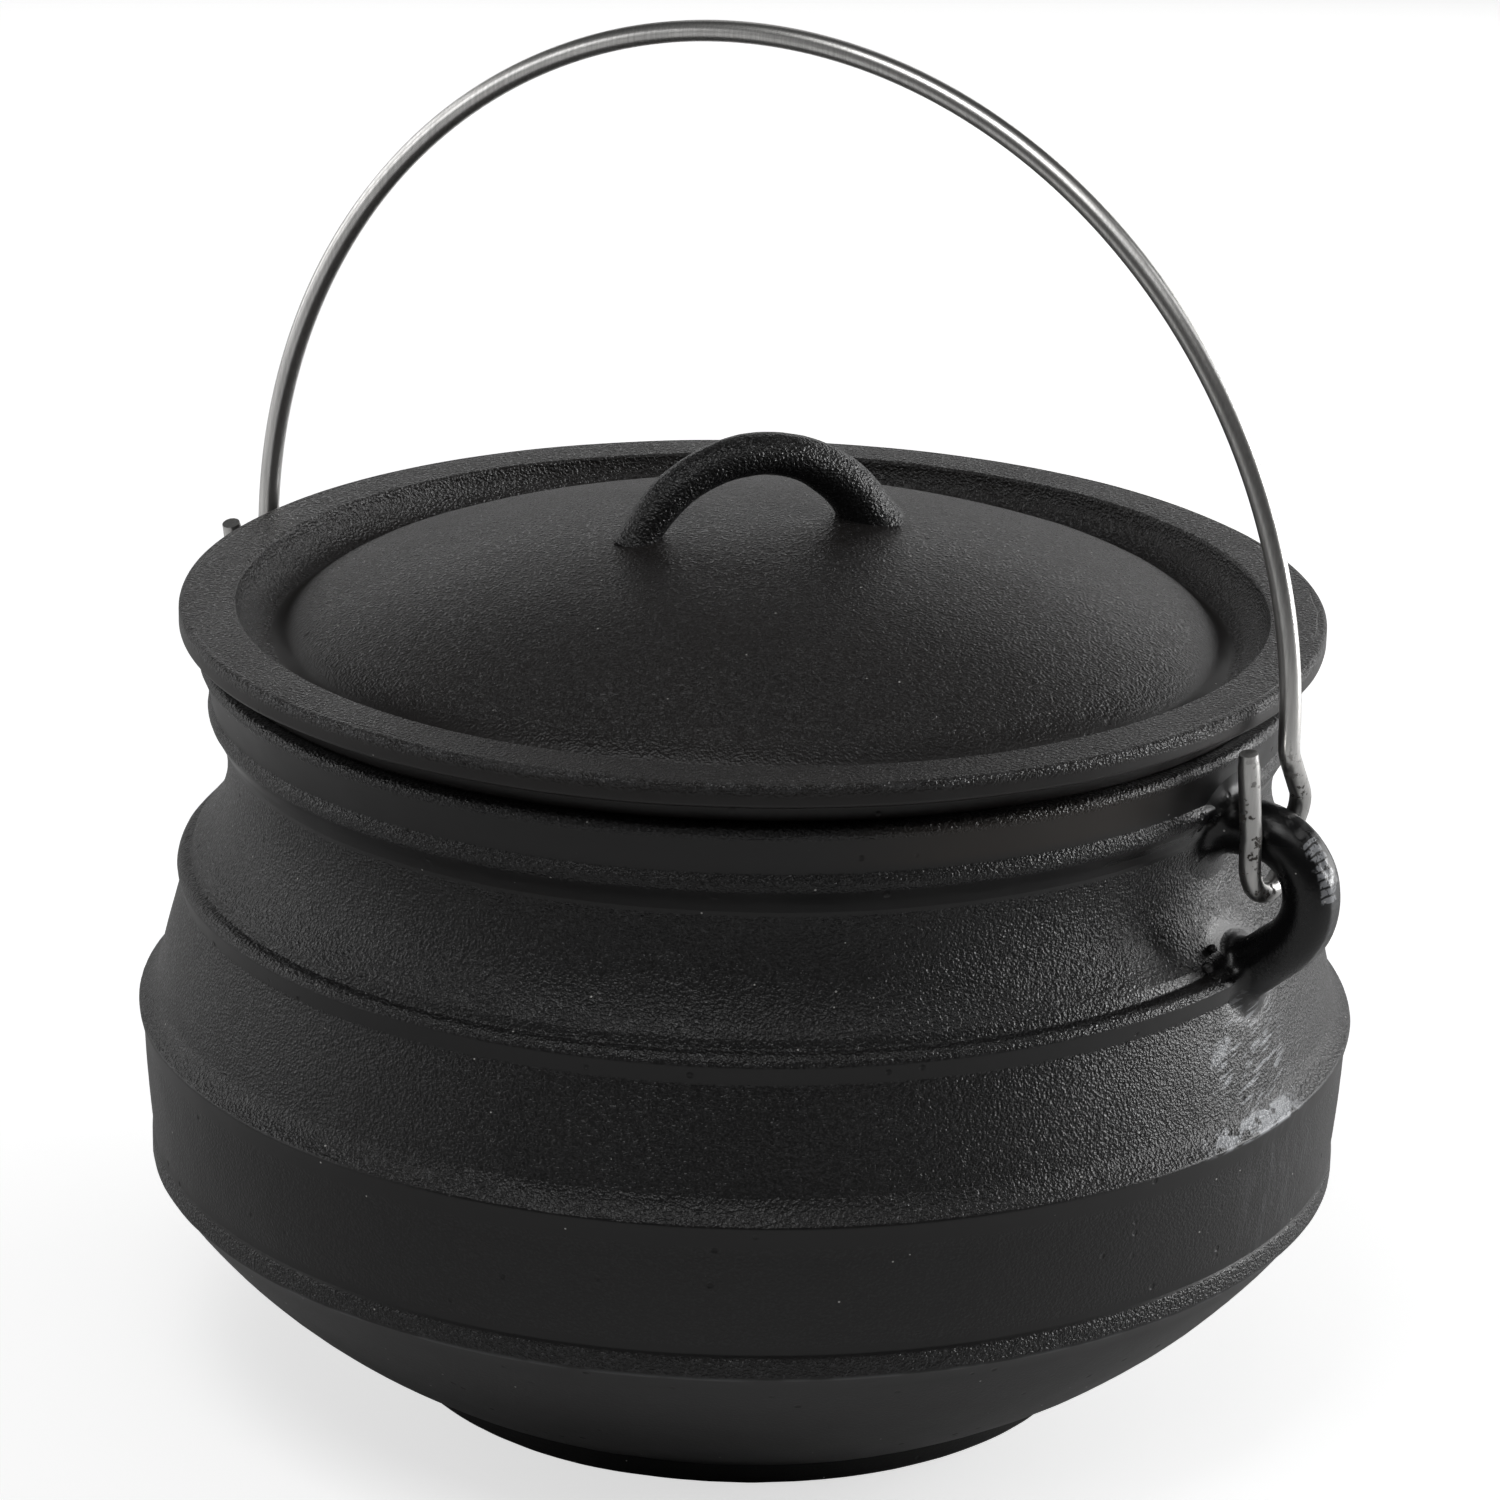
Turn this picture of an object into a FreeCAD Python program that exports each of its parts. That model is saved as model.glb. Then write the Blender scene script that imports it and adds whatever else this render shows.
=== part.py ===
import FreeCAD
import Part
import math
import os

# Flat-bottomed cast iron camp kettle with a lid and a wire bail.
# All sizes are in millimetres. The origin is the centre of the flat foot, +Z is up,
# and the two ears stand on the X axis. Heights of the pot follow each other upwards,
# and its radii follow each other outwards from the neck.

# Foot and bowl
foot_radius = 80.5
foot_height = 6.0
foot_draft = 1.0            # the foot is this much wider at its top
foot_step = 4.0             # the bowl overhangs the foot by this much
foot_step_rise = 0.8
base_round = 1.2
bowl_height = 52.6          # from the base to the sharp edge of the lowest rib
bowl_bulge = 4.2            # how far the bowl swells out of a straight cone

# Low rib: an upright face above a sharp edge
low_rib_in = 2.8            # the low rib stands this far inside the belly rib
low_rib_face = 4.2
low_rib_nose = 1.4          # the small underside of the rib
low_rib_step = 0.9          # the wall above is this far inside the rib
low_rib_slope = 1.0

# Belly rib and shoulder rib: a smooth band that narrows down from a rounded edge
belly_rise = 36.2           # from the low rib's edge to the belly rib's edge
belly_out = 9.1             # the belly rib stands this far outside the shoulder rib
belly_flare = 3.2           # the last flare of the wall above the belly rib
belly_flare_height = 6.2
shoulder_rise = 33.5        # from the belly rib's edge to the shoulder rib's edge
shoulder_out = 11.9         # the shoulder rib stands this far outside the neck
shoulder_crest = 2.2        # the round crest above the shoulder rib's edge
shoulder_crest_height = 2.8
rib_band = 5.0
rib_step = 1.4              # how far the band turns in
rib_edge_round = 0.5
wall_hollow = 0.6           # the section between the two ribs is slightly hollow

# Neck, collar rib and lip
neck_radius = 119.9
neck_rise = 23.2            # from the shoulder rib's edge to the narrowest place
collar_rise = 12.3          # from there to the collar rib
collar_in = 1.9             # the collar rib stands this far inside the lip
collar_face = 4.4
collar_edge = 0.9
collar_band = 5.0
rim_rise = 15.7             # from the collar rib to the top of the rim
rim_hollow = 0.4
lip_out = 6.4               # the lip stands this far outside the neck
lip_round = 2.0

# Walls
wall = 5.2
base_thickness = 6.0
rim_width = 7.0             # the flat ring that the lid sits on, with the round lip

# Cast ears
ear_bar = 12.8              # diameter of the ear's round bar
ear_reach = 24.9            # centre of the outer arm, out from the neck
ear_under_collar = 2.5      # centre of the upper arm, below the collar rib
ear_top_bend = 13.5         # from the level upper arm down into the outer arm
ear_straight = 0.3          # the outer arm is straight for this short stretch
ear_low_bend = 15.5         # from the outer arm in towards the lower root
ear_root_drop = 38.3        # from the upper arm's centre down to the lower root
ear_root_reach = 4.1        # where the lower root lies, out from the neck
ear_fillet = 7.5            # radius of the fillet round the upper arm, where it leaves the neck

# Lid
lid_overhang = 4.4          # the lid's rim stands this far outside the pot's lip
lid_rim_thickness = 5.5
lid_rim_width = 12.1        # the flat ring round the moat
lid_rim_chamfer = 1.2
lid_lift = 5.7              # underside of the flat ring above the pot's rim
lid_wall = 4.6
seat_width = 3.2            # the ring on which the lid sits
seat_slope = 0.8
register_depth = 2.6        # the part of the lid that goes down inside the rim
register_clearance = 0.8
register_width = 11.0
moat_half_width = 8.0       # from the flat ring's inner edge to the middle of the moat
moat_depth = 8.4            # below the flat ring
moat_round = 3.0
moat_edge_round = 2.2
moat_hollow = 0.8           # the moat's outer side is this much hollow
dome_rise = 18.0            # crown above the flat ring
dome_radius = 262.0         # radius of the ball that the dome is part of
dome_shoulder_in = 13.6     # the dome starts to turn down this far inside the moat's middle
dome_shoulder_bulge = 0.7

# Loop handle cast on the lid
grip_half_span = 28.0       # centre of the lid to the centre of each foot
grip_rise = 17.4            # centre of the bar above the dome at the feet
grip_turn = 53.5            # angle from the ears' line, seen from above
grip_thin_foot = 8.6        # thickness at the slim foot
grip_top = 9.6
grip_thick_foot = 13.6      # thickness at the stout foot
grip_flatness = 1.12        # the bar is this much wider than it is thick

# Wire bail
wire = 4.9                  # diameter of the wire
hook_gap = 0.8              # clearance between the hook and the ear's upper arm
hook_side_gap = 1.8         # clearance between the hook and the ear's outer arm
hook_drop = 4.0             # how far the hook hangs under the ear's upper arm
hook_tip = 21.5             # tip of one hook above the ear's upper arm
hook_open = 3.6             # that tip stands away from the straight shank by this much
other_hook_tip = 27.5       # the other hook is cut longer
other_hook_open = 9.6       # and bent further open
kick_out = 1.6              # the leg's kink stands out this much from the hook, sideways
kick_away = 2.0             # and this much to the far side
kick_height = 4.6           # height of the kink above the ear's upper arm
wire_bend = 8.0
arch_out = 3.05             # the arch's foot stands this far outside the hook
arch_foot_rise = 21.9       # foot of the arch above the ear's upper arm
arch_foot_run = 3.0         # the straight bit of the leg under the arch
arch_rise = 137.1           # from the foot of the arch to its top
arch_join = 40.0            # angle at which the side curves meet the top curve
bail_lean = 1.0             # degrees that the bail leans away from upright

# Radii of the pot, from the neck outwards
shoulder_rib_radius = neck_radius + shoulder_out
belly_rib_radius = shoulder_rib_radius + belly_out
low_rib_radius = belly_rib_radius - low_rib_in
lip_radius = neck_radius + lip_out
collar_rib_radius = lip_radius - collar_in
mouth_radius = lip_radius - rim_width

# Heights of the pot, from the base upwards
belly_rib_height = bowl_height + belly_rise
shoulder_rib_height = belly_rib_height + shoulder_rise
neck_height = shoulder_rib_height + neck_rise
collar_rib_height = neck_height + collar_rise
rim_height = collar_rib_height + rim_rise

# Lines that the ears, the lid and the bail share
ear_top_height = collar_rib_height - ear_under_collar
ear_arm_radius = neck_radius + ear_reach
hook_radius = ear_arm_radius - ear_bar / 2 - hook_side_gap - wire / 2
lid_under_height = rim_height + lid_lift
lid_top_height = lid_under_height + lid_rim_thickness
crown_height = lid_top_height + dome_rise

# A quarter round bulges by this share of its radius
quarter_bulge = 1 - math.cos(math.radians(45))


def line(a, b):
    """A straight line between two (radius, height) points of an outline."""
    return Part.LineSegment(FreeCAD.Vector(a[0], 0, a[1]), FreeCAD.Vector(b[0], 0, b[1])).toShape()


def arc(a, middle, b):
    """An arc through three (radius, height) points of an outline."""
    ends = [FreeCAD.Vector(p[0], 0, p[1]) for p in (a, middle, b)]
    return Part.Arc(*ends).toShape()


def bow(a, b, bulge):
    """An arc from a to b whose middle stands off the straight line by bulge,
    to the right of the way from a to b."""
    length = math.hypot(b[0] - a[0], b[1] - a[1])
    radius = (a[0] + b[0]) / 2 + (b[1] - a[1]) / length * bulge
    height = (a[1] + b[1]) / 2 - (b[0] - a[0]) / length * bulge
    return arc(a, (radius, height), b)


def turned(edges):
    """The solid that a closed outline sweeps round the Z axis."""
    face = Part.Face(Part.Wire(edges))
    return face.revolve(FreeCAD.Vector(0, 0, 0), FreeCAD.Vector(0, 0, 1), 360)


def save(shape, node):
    shape = shape.removeSplitter()
    print(node, "valid", shape.isValid(), "solids", len(shape.Solids),
          "litres of metal", round(shape.Volume / 1e6, 4))
    shape.exportStep(os.path.join("parts", node + ".step"))


def neck_at(height):
    """Radius at a height of the hollow neck, an arc from the shoulder crest to the collar."""
    out = shoulder_out - shoulder_crest
    down = neck_rise - shoulder_crest_height
    bend = (out * out + down * down) / (2 * out)
    return neck_radius + bend - math.sqrt(bend * bend - (height - neck_height) ** 2)


def rib(radius, height):
    """Points of a belly or shoulder rib: the foot of its band and its rounded edge."""
    foot = (radius - rib_step, height - rib_band)
    low = (radius - rib_edge_round / 5, height - rib_edge_round)
    high = (radius - rib_edge_round / 2, height + rib_edge_round)
    return foot, low, high


def pot_outside():
    foot_top = (foot_radius + foot_draft, foot_height)
    bowl_start = (foot_radius + foot_step, foot_height + foot_step_rise)
    low_foot = (low_rib_radius - low_rib_nose, bowl_height - low_rib_nose)
    low_edge = (low_rib_radius, bowl_height)
    low_top = (low_rib_radius, bowl_height + low_rib_face)
    low_wall = (low_rib_radius - low_rib_step, low_top[1] + low_rib_slope)
    belly_foot, belly_low, belly_high = rib(belly_rib_radius, belly_rib_height)
    belly_top = (belly_rib_radius - belly_flare, belly_rib_height + belly_flare_height)
    shoulder_foot, shoulder_low, shoulder_high = rib(shoulder_rib_radius, shoulder_rib_height)
    shoulder_top = (shoulder_rib_radius - shoulder_crest,
                    shoulder_rib_height + shoulder_crest_height)
    collar_foot_height = collar_rib_height - collar_band
    collar_foot = (neck_at(collar_foot_height), collar_foot_height)
    collar_low = (collar_rib_radius - collar_edge, collar_rib_height)
    collar_side = (collar_rib_radius, collar_rib_height + collar_face / 2)
    collar_top = (collar_rib_radius - collar_edge, collar_rib_height + collar_face)
    lip_side = (lip_radius, rim_height - lip_round)
    lip_top = (lip_radius - lip_round, rim_height)
    return [
        line((0, 0), (foot_radius - base_round, 0)),
        bow((foot_radius - base_round, 0), (foot_radius, base_round), base_round * quarter_bulge),
        line((foot_radius, base_round), foot_top),
        line(foot_top, bowl_start),
        bow(bowl_start, low_foot, bowl_bulge),
        line(low_foot, low_edge),
        line(low_edge, low_top),
        line(low_top, low_wall),
        bow(low_wall, belly_foot, wall_hollow / 2),
        line(belly_foot, belly_low),
        bow(belly_low, belly_high, rib_edge_round / 2),
        bow(belly_high, belly_top, -rib_edge_round / 2),
        bow(belly_top, shoulder_foot, -wall_hollow),
        line(shoulder_foot, shoulder_low),
        bow(shoulder_low, shoulder_high, rib_edge_round / 2),
        bow(shoulder_high, shoulder_top, rib_edge_round),
        arc(shoulder_top, (neck_radius, neck_height), collar_foot),
        line(collar_foot, collar_low),
        arc(collar_low, collar_side, collar_top),
        bow(collar_top, lip_side, -rim_hollow),
        bow(lip_side, lip_top, lip_round * quarter_bulge),
        line(lip_top, (0, rim_height)),
        line((0, rim_height), (0, 0)),
    ]


def pot_inside():
    """The hollow of the pot: it follows the outside at the wall's thickness, without ribs."""
    floor = (foot_radius - wall, base_thickness)
    low = (low_rib_radius - low_rib_step - wall, bowl_height)
    belly = (belly_rib_radius - belly_flare - wall, belly_rib_height)
    shoulder = (shoulder_rib_radius - rib_step - wall, shoulder_rib_height - rib_band)
    neck = (neck_radius - wall, neck_height)
    mouth = (mouth_radius, rim_height)
    above = rim_height + lip_round
    return [
        line((0, base_thickness), floor),
        bow(floor, low, bowl_bulge + wall / 2),
        bow(low, belly, wall_hollow),
        bow(belly, shoulder, wall_hollow),
        bow(shoulder, neck, -2 * wall_hollow),
        bow(neck, mouth, -wall_hollow),
        line(mouth, (mouth_radius, above)),
        line((mouth_radius, above), (0, above)),
        line((0, above), (0, base_thickness)),
    ]


def rounded_path(corners, bend):
    """Straight runs through the corners, with a tangent arc of radius bend at each turn."""
    edges = []
    last = corners[0]
    for before, corner, after in zip(corners, corners[1:], corners[2:]):
        way_in = (corner - before).normalize()
        way_out = (after - corner).normalize()
        half_turn = way_in.getAngle(way_out) / 2
        trim = bend * math.tan(half_turn)
        start = corner - way_in * trim
        end = corner + way_out * trim
        inward = (way_out - way_in).normalize()
        middle = corner + inward * (bend / math.cos(half_turn) - bend)
        edges.append(Part.LineSegment(last, start).toShape())
        edges.append(Part.Arc(start, middle, end).toShape())
        last = end
    edges.append(Part.LineSegment(last, corners[-1]).toShape())
    return edges


def round_bar(edges, diameter):
    """A round bar along a path of lines and tangent arcs."""
    path = Part.Wire(edges)
    start = edges[0].firstVertex().Point
    way = edges[0].tangentAt(edges[0].FirstParameter)
    circle = Part.Wire(Part.Circle(start, way, diameter / 2).toShape())
    bar = path.makePipeShell([circle], True, True)
    print("bar", diameter, "volume", round(bar.Volume), "expected",
          round(path.Length * math.pi * diameter * diameter / 4))
    return bar


def ear_fillet_solid():
    """The round fillet with which the ear's upper arm grows out of the neck."""
    slim = ear_bar / 2
    wide = slim + ear_fillet
    sunk = -wall / 2
    root = turned([
        line((0, sunk), (wide, sunk)),
        line((wide, sunk), (wide, 0)),
        bow((wide, 0), (slim, ear_fillet), -ear_fillet * quarter_bulge),
        line((slim, ear_fillet), (0, ear_fillet)),
        line((0, ear_fillet), (0, sunk)),
    ])
    root.rotate(FreeCAD.Vector(0, 0, 0), FreeCAD.Vector(0, 1, 0), 90)
    root.translate(FreeCAD.Vector(neck_radius, 0, ear_top_height))
    return root


def ear_bar_solid():
    """The ear's bar on the +X side: level upper arm, rounded outer arm and sloping lower arm."""
    start = FreeCAD.Vector(neck_radius - wall / 2, 0, ear_top_height)
    top_bend = FreeCAD.Vector(ear_arm_radius - ear_top_bend, 0, ear_top_height - ear_top_bend)
    low_bend = FreeCAD.Vector(ear_arm_radius - ear_low_bend, 0, top_bend.z - ear_straight)
    root = FreeCAD.Vector(neck_radius + ear_root_reach, 0, ear_top_height - ear_root_drop)

    def on_bend(centre, bend, angle):
        return centre + FreeCAD.Vector(math.cos(angle), 0, math.sin(angle)) * bend

    # the lower arm leaves the low bend where it points straight at the root
    to_root = root - low_bend
    leave = math.atan2(to_root.z, to_root.x) + math.acos(ear_low_bend / to_root.Length)
    over = on_bend(top_bend, ear_top_bend, math.pi / 2)
    outer = on_bend(top_bend, ear_top_bend, 0)
    under = on_bend(low_bend, ear_low_bend, 0)
    edges = [
        Part.LineSegment(start, over).toShape(),
        Part.Arc(over, on_bend(top_bend, ear_top_bend, math.pi / 4), outer).toShape(),
        Part.LineSegment(outer, under).toShape(),
        Part.Arc(under, on_bend(low_bend, ear_low_bend, leave / 2),
                 on_bend(low_bend, ear_low_bend, leave)).toShape(),
        Part.LineSegment(on_bend(low_bend, ear_low_bend, leave), root).toShape(),
    ]
    return round_bar(edges, ear_bar)


def kettle_body():
    body = turned(pot_outside())
    for right in (ear_fillet_solid(), ear_bar_solid()):
        left = right.mirror(FreeCAD.Vector(0, 0, 0), FreeCAD.Vector(1, 0, 0))
        body = body.fuse([right, left])
    return body.cut(turned(pot_inside()))


def ball_drop(radius, ball):
    """How far a ball's surface has fallen at a distance from its top."""
    return ball - math.sqrt(ball * ball - radius * radius)


def dome_curve(top_height, radius, ball):
    """The points of a dome's outline: crown, half way out and edge."""
    return [(out, top_height - ball_drop(out, ball)) for out in (0, radius / 2, radius)]


def lid():
    moat_inner_edge = lip_radius + lid_overhang - lid_rim_width
    moat_radius = moat_inner_edge - moat_half_width
    dome_edge = moat_radius - dome_shoulder_in
    lid_radius = lip_radius + lid_overhang
    lid_chamfered = lid_radius - lid_rim_chamfer
    register_radius = mouth_radius - register_clearance
    register_bottom = rim_height - register_depth
    seat_outer = mouth_radius + seat_width
    crown, dome_middle, shoulder = dome_curve(crown_height, dome_edge, dome_radius)
    top, under_middle, under_edge = dome_curve(
        crown_height - lid_wall, dome_edge + lid_wall / 2, dome_radius - lid_wall)
    ring_inner = (register_radius - register_width, register_bottom)
    moat_floor = lid_top_height - moat_depth
    moat_side = moat_round * math.sin(math.radians(45))
    moat_side_height = moat_floor + moat_round * quarter_bulge
    moat_far = (moat_radius + moat_side, moat_side_height)
    moat_near = (moat_radius - moat_side, moat_side_height)
    moat_wall_top = (moat_inner_edge - moat_edge_round, lid_top_height - moat_edge_round)
    plate = turned([
        arc(top, under_middle, under_edge),
        line(under_edge, ring_inner),
        line(ring_inner, (register_radius, register_bottom)),
        line((register_radius, register_bottom), (register_radius, rim_height)),
        line((register_radius, rim_height), (seat_outer, rim_height)),
        line((seat_outer, rim_height), (seat_outer + seat_slope, lid_under_height)),
        line((seat_outer + seat_slope, lid_under_height), (lid_chamfered, lid_under_height)),
        bow((lid_chamfered, lid_under_height),
            (lid_radius, lid_under_height + lid_rim_chamfer), lid_rim_chamfer * quarter_bulge),
        line((lid_radius, lid_under_height + lid_rim_chamfer),
             (lid_radius, lid_top_height - lid_rim_chamfer)),
        bow((lid_radius, lid_top_height - lid_rim_chamfer),
            (lid_chamfered, lid_top_height), lid_rim_chamfer * quarter_bulge),
        line((lid_chamfered, lid_top_height), (moat_inner_edge, lid_top_height)),
        bow((moat_inner_edge, lid_top_height), moat_wall_top, moat_edge_round * quarter_bulge),
        bow(moat_wall_top, moat_far, -moat_hollow),
        arc(moat_far, (moat_radius, moat_floor), moat_near),
        bow(moat_near, shoulder, dome_shoulder_bulge),
        arc(shoulder, dome_middle, crown),
        line(crown, top),
    ])
    below = register_bottom - lid_wall
    hollow = turned([
        arc(top, under_middle, under_edge),
        line(under_edge, (under_edge[0], below)),
        line((under_edge[0], below), (0, below)),
        line((0, below), top),
    ])
    return plate.fuse(grip().cut(hollow))


def grip():
    """The loop on the lid: an arch whose bar is stouter at one foot than at the other."""
    foot_height_at = crown_height - ball_drop(grip_half_span, dome_radius)
    bend = (grip_half_span ** 2 + grip_rise ** 2) / (2 * grip_rise)
    centre_height = foot_height_at + grip_rise - bend
    reach = math.asin(grip_half_span / bend) + lid_wall / bend
    sections = []
    steps = 8
    for step in range(steps + 1):
        side = 2 * step / steps - 1
        foot = grip_thick_foot if side > 0 else grip_thin_foot
        thick = grip_top + (foot - grip_top) * abs(side) ** 1.5
        angle = side * reach
        centre = FreeCAD.Vector(bend * math.sin(angle), 0, centre_height + bend * math.cos(angle))
        outward = FreeCAD.Vector(math.sin(angle), 0, math.cos(angle))
        across = FreeCAD.Vector(0, 1, 0)
        oval = Part.Ellipse(centre + across * (thick * grip_flatness / 2),
                            centre + outward * (thick / 2), centre)
        sections.append(Part.Wire(oval.toShape()))
    loop = Part.makeLoft(sections, True, False)
    loop.rotate(FreeCAD.Vector(0, 0, 0), FreeCAD.Vector(0, 0, 1), grip_turn)
    return loop


def bail_end(side, tip_rise, tip_open):
    """One end of the bail: its hook round the ear's upper arm and the leg up to the arch."""
    offset = ear_bar / 2 + hook_gap + wire / 2
    bend_height = ear_top_height - hook_drop
    arch_foot = ear_top_height + arch_foot_rise

    def place(out, away, height):
        return FreeCAD.Vector(side * (hook_radius + out), away, height)

    near = place(0, -offset, bend_height)
    far = place(0, offset, bend_height)
    tip = place(0, -offset - tip_open, ear_top_height + tip_rise)
    hook = rounded_path([tip, place(0, -offset, bend_height + wire), near], wire_bend)
    turn = Part.Arc(near, place(0, 0, bend_height - offset), far).toShape()
    leg = rounded_path([
        far,
        place(0, offset, bend_height + wire / 2),
        place(kick_out, offset + kick_away, ear_top_height + kick_height),
        place(arch_out, 0, arch_foot - arch_foot_run),
        place(arch_out, 0, arch_foot),
    ], wire_bend)
    return hook + [turn] + leg


def arch():
    """The arch of the bail from right to left: a side curve, a top curve and a side curve."""
    half_span = hook_radius + arch_out
    foot_height_now = ear_top_height + arch_foot_rise
    join = math.radians(arch_join)
    lean = (1 - math.sin(join)) / math.cos(join)
    side_bend = (arch_rise - half_span * lean) / (math.sin(join) - lean * (1 - math.cos(join)))
    side_centre = half_span - side_bend

    def on_side(side, angle):
        return FreeCAD.Vector(side * (side_centre + side_bend * math.cos(angle)), 0,
                              foot_height_now + side_bend * math.sin(angle))

    top = FreeCAD.Vector(0, 0, foot_height_now + arch_rise)
    return [
        Part.Arc(on_side(1, 0), on_side(1, join / 2), on_side(1, join)).toShape(),
        Part.Arc(on_side(1, join), top, on_side(-1, join)).toShape(),
        Part.Arc(on_side(-1, join), on_side(-1, join / 2), on_side(-1, 0)).toShape(),
    ]


def bail():
    right = bail_end(1, hook_tip, hook_open)
    left = bail_end(-1, other_hook_tip, other_hook_open)
    left_back = [edge.reversed() for edge in reversed(left)]
    handle = round_bar(right + arch() + left_back, wire)
    handle.rotate(FreeCAD.Vector(0, 0, ear_top_height), FreeCAD.Vector(1, 0, 0), -bail_lean)
    return handle


os.makedirs("parts", exist_ok=True)
save(kettle_body(), "kettle_body")
save(lid(), "lid")
save(bail(), "bail_handle")
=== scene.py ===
import math
import bpy
from mathutils import Matrix, Vector


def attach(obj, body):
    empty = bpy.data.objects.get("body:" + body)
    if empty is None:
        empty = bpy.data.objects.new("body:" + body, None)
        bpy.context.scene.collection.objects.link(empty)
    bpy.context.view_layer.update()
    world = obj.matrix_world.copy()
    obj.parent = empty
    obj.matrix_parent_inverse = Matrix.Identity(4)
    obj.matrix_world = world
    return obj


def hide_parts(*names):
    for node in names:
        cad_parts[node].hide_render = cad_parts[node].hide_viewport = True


bl_info = {
    "name": "Cast iron camp kettle",
    "version": (1, 0, 0),
    "blender": (4, 5, 0),
    "location": "3D View > Sidebar > Kettle",
    "description": "Builds a ribbed cast iron camp kettle with its lid and wire bail",
    "category": "Add Mesh",
}

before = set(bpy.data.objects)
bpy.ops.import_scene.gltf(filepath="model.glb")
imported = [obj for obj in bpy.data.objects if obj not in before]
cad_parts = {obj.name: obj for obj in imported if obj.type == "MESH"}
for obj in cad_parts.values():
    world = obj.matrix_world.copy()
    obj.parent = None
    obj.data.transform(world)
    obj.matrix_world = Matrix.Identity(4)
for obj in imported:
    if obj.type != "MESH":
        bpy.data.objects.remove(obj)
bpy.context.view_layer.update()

MM = 0.001
TURN_STEPS = 288            # steps of a full turn of the pot and the lid
ROW_STEP = 3.2 * MM         # longest row along a curved stretch of an outline
CORNER_TURN = math.radians(11)
STROKE_TURN = 5.0           # degrees of the ear's bend that one chisel stroke takes
LIGHT_DISTANCE = 1.6
QUARTER_BULGE = 1 - math.cos(math.radians(45))


def length(name, description, millimetres):
    """A size property, shown as a length."""
    return bpy.props.FloatProperty(
        name=name, description=description, default=millimetres * MM, unit="LENGTH", precision=4)


def share(name, description, value):
    """A property from 0 to 1."""
    return bpy.props.FloatProperty(
        name=name, description=description, default=value, min=0, max=1, subtype="FACTOR")


def colour(name, description, red, green, blue):
    """A colour property."""
    return bpy.props.FloatVectorProperty(
        name=name, description=description, default=(red, green, blue, 1), size=4,
        min=0, max=1, subtype="COLOR")


class KettlePotSizes(bpy.types.PropertyGroup):
    """Sizes of the pot"""
    foot_radius: length("Foot radius", "Radius of the flat foot", 80.5)
    foot_height: length("Foot height", "Height of the foot under the bowl", 6.0)
    bowl_height: length("Bowl height", "Base to the edge of the low rib", 52.6)
    bowl_bulge: length("Bowl bulge", "How far the bowl swells out of a cone", 4.2)
    belly_rise: length("Belly rise", "Low rib to belly rib", 36.2)
    shoulder_rise: length("Shoulder rise", "Belly rib to shoulder rib", 33.5)
    neck_rise: length("Neck rise", "Shoulder rib to the narrowest place", 23.2)
    collar_rise: length("Collar rise", "Narrowest place to the collar rib", 12.3)
    rim_rise: length("Rim rise", "Collar rib to the top of the rim", 15.7)
    neck_radius: length("Neck radius", "Radius at the narrowest place", 119.9)
    shoulder_out: length("Shoulder out", "Shoulder rib outside the neck", 11.9)
    belly_out: length("Belly out", "Belly rib outside the shoulder rib", 9.1)
    low_rib_in: length("Low rib in", "Low rib inside the belly rib", 2.8)
    lip_out: length("Lip out", "Lip outside the neck", 6.4)
    wall: length("Wall", "Thickness of the pot's wall", 5.2)
    edge_round: length("Edge round", "Rounding of the cast edges", 0.8)


class KettleEarSizes(bpy.types.PropertyGroup):
    """Sizes of the two cast ears"""
    bar: length("Bar", "Diameter of the ear's round bar", 12.8)
    reach: length("Reach", "Centre of the outer arm, out from the neck", 24.9)
    under_collar: length("Under collar", "Upper arm below the collar rib", 2.5)
    top_bend: length("Top bend", "Bend from the upper to the outer arm", 13.5)
    straight: length("Straight", "Straight stretch of the outer arm", 0.3)
    low_bend: length("Low bend", "Bend from the outer arm to the lower root", 15.5)
    root_drop: length("Root drop", "Upper arm's centre to the lower root", 38.3)
    root_reach: length("Root reach", "Lower root, out from the neck", 4.1)
    fillet: length("Fillet", "How far the roots spread over the pot", 8.5)


class KettleLidSizes(bpy.types.PropertyGroup):
    """Sizes of the lid"""
    overhang: length("Overhang", "Lid's rim outside the pot's lip", 4.4)
    lift: length("Lift", "Flat ring above the pot's rim", 5.7)
    rim_thickness: length("Rim thickness", "Thickness of the flat ring", 5.5)
    rim_width: length("Rim width", "Width of the flat ring", 12.1)
    moat_half_width: length("Moat half width", "Ring's inner edge to the moat's middle", 8.0)
    moat_depth: length("Moat depth", "Depth of the moat", 8.4)
    dome_rise: length("Dome rise", "Crown above the flat ring", 18.0)
    dome_radius: length("Dome radius", "Radius of the ball the dome is part of", 262.0)
    wall: length("Wall", "Thickness of the lid", 4.6)


class KettleGripSizes(bpy.types.PropertyGroup):
    """Sizes of the loop on the lid"""
    half_span: length("Half span", "Lid's centre to the centre of each foot", 28.0)
    rise: length("Rise", "Bar's centre above the dome at the feet", 17.4)
    thin_foot: length("Thin foot", "Thickness at the slim foot", 8.6)
    top: length("Top", "Thickness at the top", 9.6)
    thick_foot: length("Thick foot", "Thickness at the stout foot", 13.6)
    turn: bpy.props.FloatProperty(
        name="Turn", description="Angle from the ears' line, seen from above",
        default=math.radians(53.5), subtype="ANGLE")


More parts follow.
